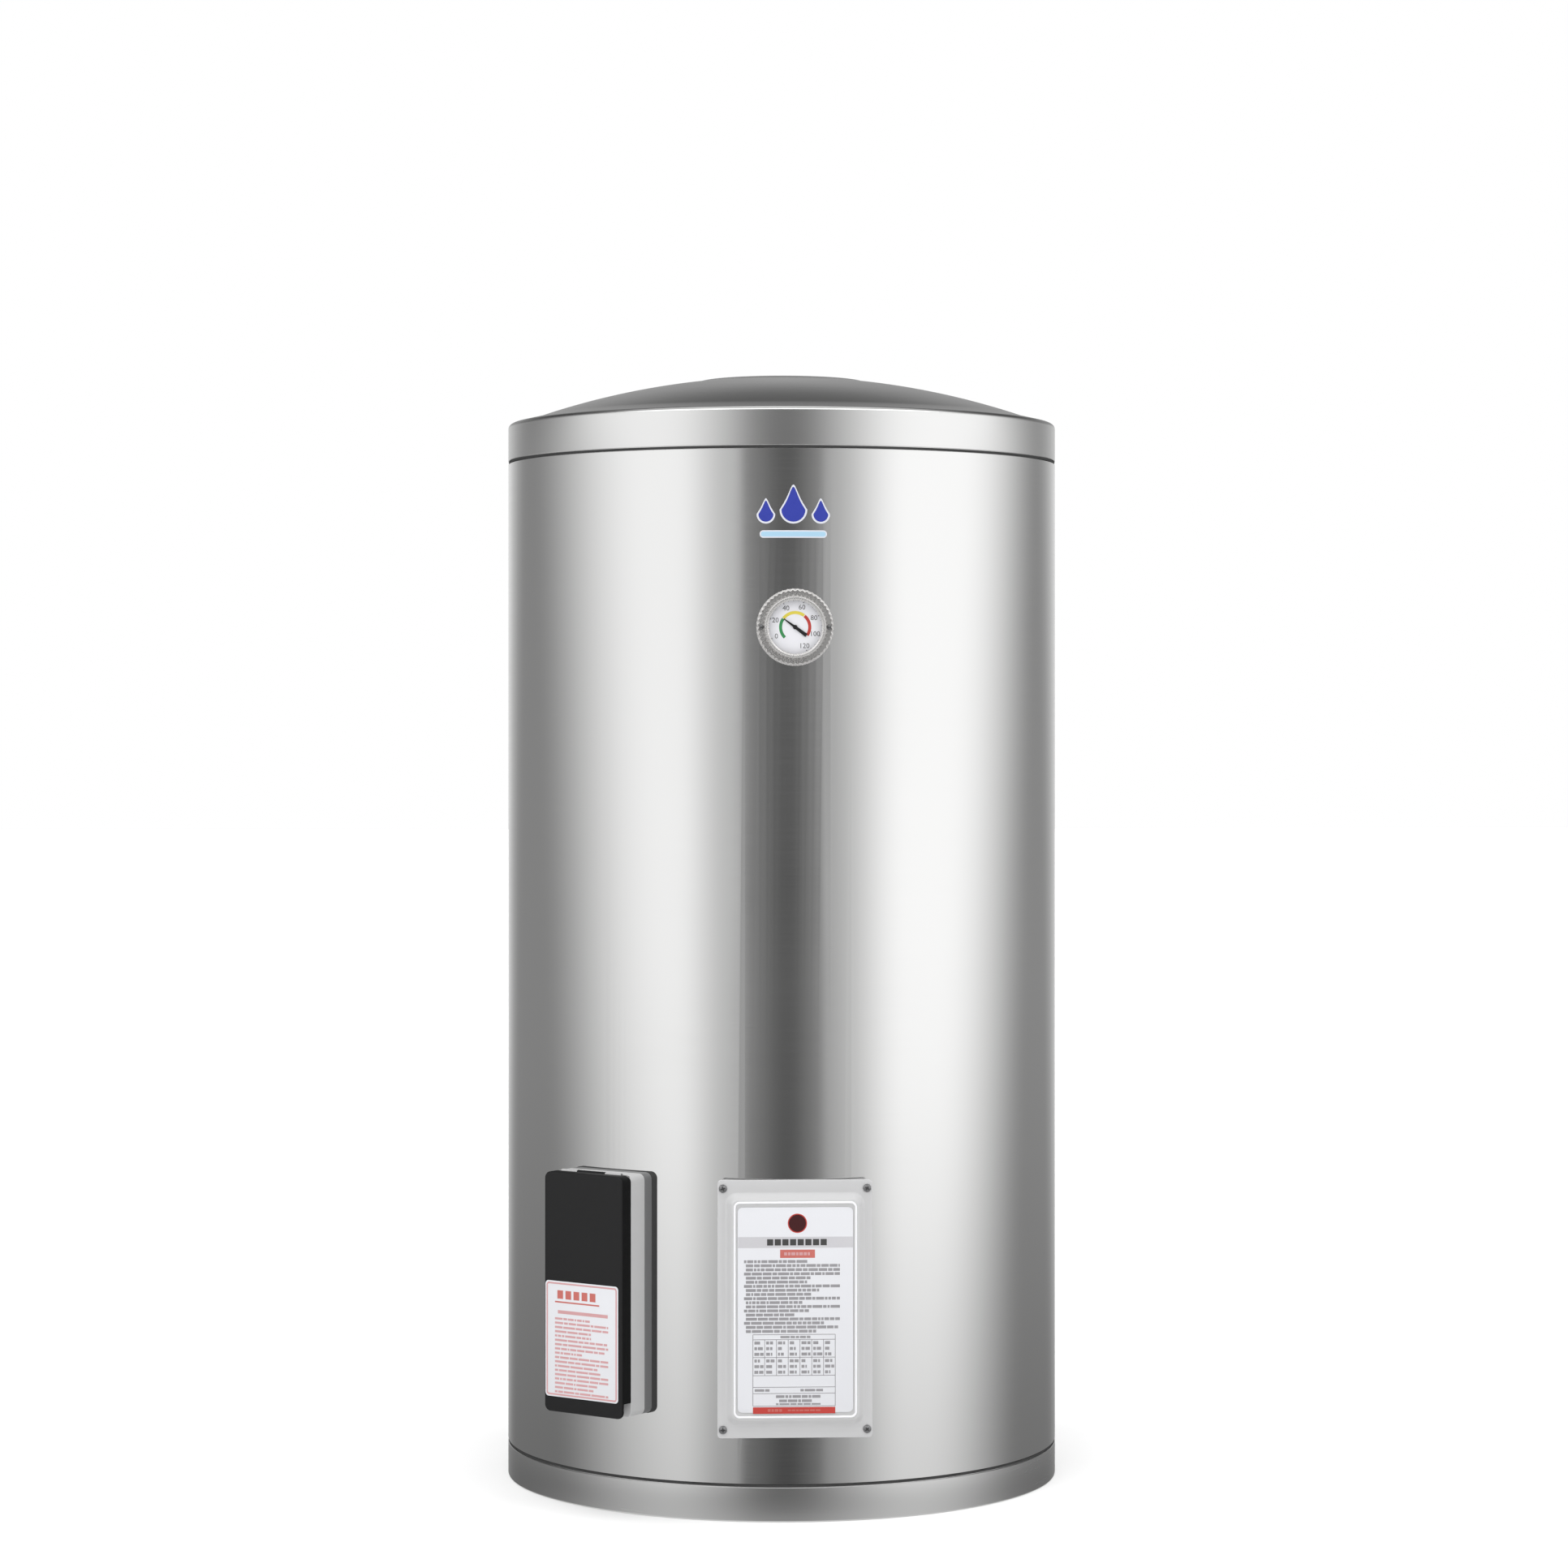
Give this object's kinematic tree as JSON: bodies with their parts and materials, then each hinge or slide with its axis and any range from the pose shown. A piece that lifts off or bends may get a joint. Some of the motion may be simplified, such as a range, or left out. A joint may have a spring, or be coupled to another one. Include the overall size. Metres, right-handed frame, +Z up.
{
  "type": "tank water heater",
  "caption": "Upright electric storage water heater in a stainless steel jacket, with a dial thermometer, a switch box and an access panel.",
  "frame": {"origin": "centre of the bottom rim, on the surface that the heater stands on", "axes": "+Z up along the tank's axis; -Y is the front with the thermometer and the access panel; +X is right when facing the front"},
  "size_m": [0.467, 0.4864, 0.93],
  "materials": {
    "jacket_steel": "satin",
    "cover_steel": "satin",
    "base_steel": "satin",
    "seal_rubber": "matte",
    "tank_steel": "satin",
    "insulation_foam": "matte",
    "anode_metal": "matte",
    "pipe_steel": "satin",
    "cold_blue": "satin",
    "hot_red": "satin",
    "valve_brass": "satin",
    "lever_steel": "satin",
    "gland_black": "matte",
    "element_seal": "matte",
    "flange_steel": "satin",
    "element_steel": "satin",
    "screw_steel": "satin",
    "thermostat_black": "matte",
    "dial_grey": "satin",
    "button_red": "gloss",
    "panel_grey": "satin",
    "printed_label": "satin",
    "gauge_steel": "satin",
    "gauge_white": "satin",
    "gauge_glass": "gloss",
    "pointer_black": "satin",
    "box_grey": "satin",
    "box_silver": "satin",
    "door_black": "satin",
    "breaker_white": "satin",
    "toggle_black": "satin",
    "lamp_green": "gloss",
    "bracket_steel": "satin"
  },
  "bodies": {
    "heater": {"outer_shell": "jacket_steel", "top_cover": "cover_steel", "bottom_band": "base_steel", "bottom_plate": "base_steel", "top_seal_ring": "seal_rubber", "bottom_seal_ring": "seal_rubber", "box_gasket": "seal_rubber", "inner_tank": "tank_steel", "foam_jacket": "insulation_foam", "foam_top": "insulation_foam", "foam_bottom": "insulation_foam", "anode_rod": "anode_metal", "cold_inlet_pipe": "pipe_steel", "hot_outlet_pipe": "pipe_steel", "cold_port_collar": "cold_blue", "hot_port_collar": "hot_red", "drain_valve_body": "valve_brass", "relief_valve_body": "valve_brass", "gauge_stem": "valve_brass", "door_hinge_pin": "lever_steel", "cable_gland": "gland_black", "element_gasket": "element_seal", "element_flange": "flange_steel", "heating_element_left": "element_steel", "heating_element_right": "element_steel", "flange_bolt_1": "screw_steel", "flange_bolt_2": "screw_steel", "flange_bolt_3": "screw_steel", "flange_bolt_4": "screw_steel", "panel_screw_1": "screw_steel", "panel_screw_2": "screw_steel", "panel_screw_3": "screw_steel", "panel_screw_4": "screw_steel", "gauge_screw_left": "screw_steel", "gauge_screw_right": "screw_steel", "thermostat_body": "thermostat_black", "panel_seat": "panel_grey", "access_panel": "panel_grey", "panel_label": "printed_label", "gauge_case": "gauge_steel", "gauge_bezel": "gauge_steel", "gauge_dial": "gauge_white", "gauge_lens": "gauge_glass", "box_base": "box_grey", "box_fascia": "box_grey", "box_frame": "box_silver", "breaker_body": "breaker_white", "terminal_block": "breaker_white", "pilot_lamp": "lamp_green", "lower_wall_bracket": "bracket_steel", "upper_wall_bracket": "bracket_steel"},
    "pointer": {"gauge_pointer": "pointer_black"},
    "door": {"box_door": "door_black", "door_label": "printed_label"},
    "toggle": {"breaker_toggle": "toggle_black"},
    "test": {"test_button": "button_red"},
    "thermostat_knob": {"thermostat_dial": "dial_grey"},
    "reset": {"reset_button": "button_red"},
    "drain_lever": {"drain_handle": "hot_red"},
    "relief": {"relief_lever": "lever_steel"}
  },
  "joints": [
    {"name": "gauge_needle", "type": "hinge", "parent": "heater", "child": "pointer", "pos_m": [0, -0.2385, 0.715], "axis": [0, 1, 0], "range_deg": [-81, 189], "stiffness_Nm_per_rad": 0.000002},
    {"name": "door_hinge", "type": "hinge", "parent": "heater", "child": "door", "pos_m": [-0.1619, -0.20948, 0.2771], "axis": [-0.7912, 0.6115, 0], "range_deg": [0, 110]},
    {"name": "breaker_switch", "type": "hinge", "parent": "heater", "child": "toggle", "pos_m": [-0.15839, -0.20493, 0.205], "axis": [0.7912, -0.6115, 0], "range_deg": [0, 36]},
    {"name": "test_press", "type": "slide", "parent": "heater", "child": "test", "axis": [0.6115, 0.7912, 0], "range_m": [0, 0.0015], "stiffness_N_per_m": 150},
    {"name": "thermostat_turn", "type": "hinge", "parent": "heater", "child": "thermostat_knob", "pos_m": [-0.011, -0.214, 0.231], "axis": [0, -1, 0], "range_deg": [-135, 135]},
    {"name": "reset_press", "type": "slide", "parent": "heater", "child": "reset", "axis": [0, 1, 0], "range_m": [0, 0.002], "stiffness_N_per_m": 150},
    {"name": "drain_turn", "type": "hinge", "parent": "heater", "child": "drain_lever", "pos_m": [0, -0.0865, 0.037], "axis": [0, 1, 0], "range_deg": [0, 90]},
    {"name": "relief_lift", "type": "hinge", "parent": "heater", "child": "relief", "pos_m": [0, 0.1035, 0.031], "axis": [1, 0, 0], "range_deg": [0, 40], "stiffness_Nm_per_rad": 0.05}
  ]
}
